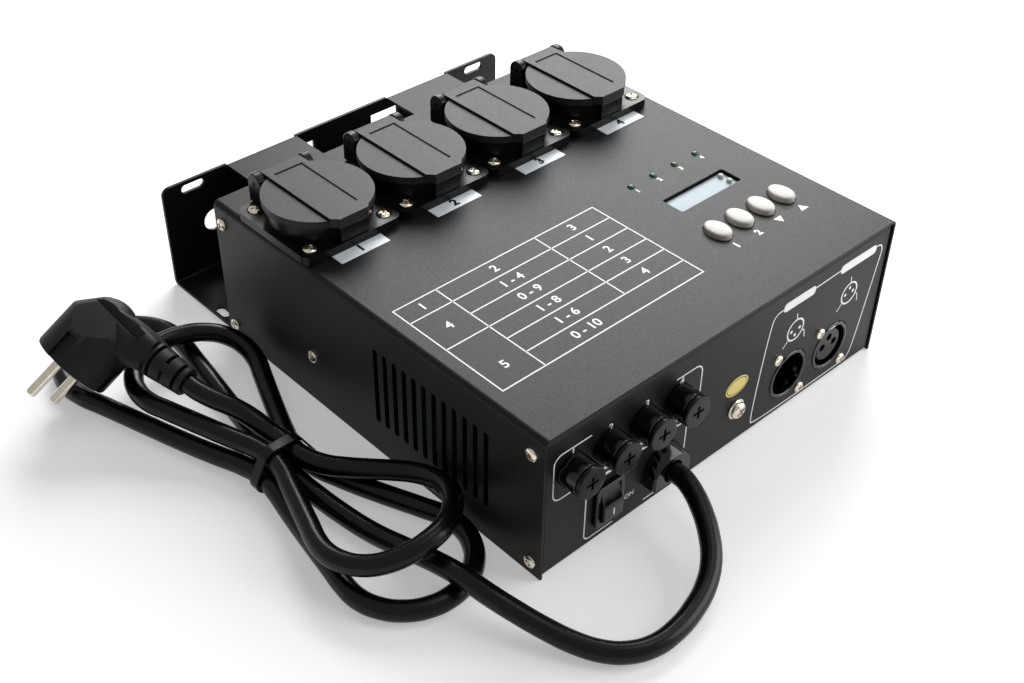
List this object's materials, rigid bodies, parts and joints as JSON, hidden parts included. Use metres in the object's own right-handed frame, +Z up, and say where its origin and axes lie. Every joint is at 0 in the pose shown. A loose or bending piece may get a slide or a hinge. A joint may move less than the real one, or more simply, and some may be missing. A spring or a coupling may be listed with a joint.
{
  "type": "dimmer pack",
  "caption": "Lighting dimmer pack in a bent steel case with lidded mains outlets on top, control panel, fuses, signal connectors, hanging bracket and a tied mains lead.",
  "frame": {"origin": "on the surface it stands on, under the middle of the pack without its lead", "axes": "+X to the right along the front, +Y to the back, +Z up"},
  "size_m": [0.3057, 0.3085, 0.0866],
  "materials": {
    "black_steel": "fine textured powder coat",
    "black_plastic": "moulded, satin",
    "lid_plastic": "moulded, finely textured",
    "white_plastic": "moulded, semi gloss",
    "green_lens": "clear tinted lens",
    "pale_lens": "clear window over a display",
    "nickel": "nickel plated",
    "steel_wire": "drawn wire",
    "board": "solder mask on laminate",
    "aluminium": "extruded",
    "transformer_iron": "varnished laminations and winding",
    "fuse_glass": "clear glass tube",
    "cable": "extruded soft sheath"
  },
  "bodies": {
    "pack": {"base_chassis": "black_steel", "control_board": "board", "cord_hank": "cable", "cord_lead": "cable", "cord_tail": "cable", "display_module": "black_plastic", "display_window": "pale_lens", "earth_screw": "nickel", "fuse_holder_1": "black_plastic", "fuse_holder_2": "black_plastic", "fuse_holder_3": "black_plastic", "fuse_holder_4": "black_plastic", "hank_tie": "cable", "heatsink": "aluminium", "led_1": "green_lens", "led_2": "green_lens", "led_3": "green_lens", "led_4": "green_lens", "plug_body": "black_plastic", "plug_pin_1": "nickel", "plug_pin_2": "nickel", "power_board": "board", "power_switch_frame": "black_plastic", "rear_bracket": "black_steel", "rear_panel": "black_steel", "socket_1_hinge_pin": "steel_wire", "socket_1_housing": "black_plastic", "socket_1_spring": "steel_wire", "socket_2_hinge_pin": "steel_wire", "socket_2_housing": "black_plastic", "socket_2_spring": "steel_wire", "socket_3_hinge_pin": "steel_wire", "socket_3_housing": "black_plastic", "socket_3_spring": "steel_wire", "socket_4_hinge_pin": "steel_wire", "socket_4_housing": "black_plastic", "socket_4_spring": "steel_wire", "strain_relief": "black_plastic", "top_cover": "black_steel", "transformer": "transformer_iron", "xlr_in_connector": "black_plastic", "xlr_out_connector": "black_plastic"},
    "lid_1": {"socket_1_lid": "lid_plastic"},
    "key_1": {"button_1": "white_plastic"},
    "cap_1": {"fuse_cap_1": "black_plastic", "fuse_1": "fuse_glass"},
    "lid_2": {"socket_2_lid": "lid_plastic"},
    "key_2": {"button_2": "white_plastic"},
    "cap_2": {"fuse_cap_2": "black_plastic", "fuse_2": "fuse_glass"},
    "lid_3": {"socket_3_lid": "lid_plastic"},
    "key_3": {"button_3": "white_plastic"},
    "cap_3": {"fuse_cap_3": "black_plastic", "fuse_3": "fuse_glass"},
    "lid_4": {"socket_4_lid": "lid_plastic"},
    "key_4": {"button_4": "white_plastic"},
    "cap_4": {"fuse_cap_4": "black_plastic", "fuse_4": "fuse_glass"},
    "rocker": {"power_rocker": "black_plastic"}
  },
  "joints": [
    {"name": "lid_1_hinge", "type": "hinge", "parent": "pack", "child": "lid_1", "pos_m": [-0.07825, 0.0666, 0.0819], "axis": [-1, 0, 0], "range_deg": [0, 105], "stiffness_Nm_per_rad": 0.01, "springref_deg": -57.3},
    {"name": "lid_2_hinge", "type": "hinge", "parent": "pack", "child": "lid_2", "pos_m": [-0.0281, 0.0666, 0.0819], "axis": [-1, 0, 0], "range_deg": [0, 105], "stiffness_Nm_per_rad": 0.01, "springref_deg": -57.3},
    {"name": "lid_3_hinge", "type": "hinge", "parent": "pack", "child": "lid_3", "pos_m": [0.02205, 0.0666, 0.0819], "axis": [-1, 0, 0], "range_deg": [0, 105], "stiffness_Nm_per_rad": 0.01, "springref_deg": -57.3},
    {"name": "lid_4_hinge", "type": "hinge", "parent": "pack", "child": "lid_4", "pos_m": [0.0722, 0.0666, 0.0819], "axis": [-1, 0, 0], "range_deg": [0, 105], "stiffness_Nm_per_rad": 0.01, "springref_deg": -57.3},
    {"name": "button_1_press", "type": "slide", "parent": "pack", "child": "key_1", "axis": [0, 0, -1], "range_m": [0, 0.0008], "stiffness_N_per_m": 800, "springref_m": -0.0006},
    {"name": "button_2_press", "type": "slide", "parent": "pack", "child": "key_2", "axis": [0, 0, -1], "range_m": [0, 0.0008], "stiffness_N_per_m": 800, "springref_m": -0.0006},
    {"name": "button_3_press", "type": "slide", "parent": "pack", "child": "key_3", "axis": [0, 0, -1], "range_m": [0, 0.0008], "stiffness_N_per_m": 800, "springref_m": -0.0006},
    {"name": "button_4_press", "type": "slide", "parent": "pack", "child": "key_4", "axis": [0, 0, -1], "range_m": [0, 0.0008], "stiffness_N_per_m": 800, "springref_m": -0.0006},
    {"name": "fuse_cap_1_turn", "type": "hinge", "parent": "pack", "child": "cap_1", "pos_m": [-0.089, -0.129, 0.049], "axis": [0, -1, 0], "range_deg": [0, 60]},
    {"name": "fuse_cap_2_turn", "type": "hinge", "parent": "pack", "child": "cap_2", "pos_m": [-0.07007, -0.129, 0.049], "axis": [0, -1, 0], "range_deg": [0, 60]},
    {"name": "fuse_cap_3_turn", "type": "hinge", "parent": "pack", "child": "cap_3", "pos_m": [-0.05114, -0.129, 0.049], "axis": [0, -1, 0], "range_deg": [0, 60]},
    {"name": "fuse_cap_4_turn", "type": "hinge", "parent": "pack", "child": "cap_4", "pos_m": [-0.03221, -0.129, 0.049], "axis": [0, -1, 0], "range_deg": [0, 60]},
    {"name": "rocker_tilt", "type": "hinge", "parent": "pack", "child": "rocker", "pos_m": [-0.068, -0.1206, 0.0189], "axis": [1, 0, 0], "range_deg": [0, 22]}
  ]
}
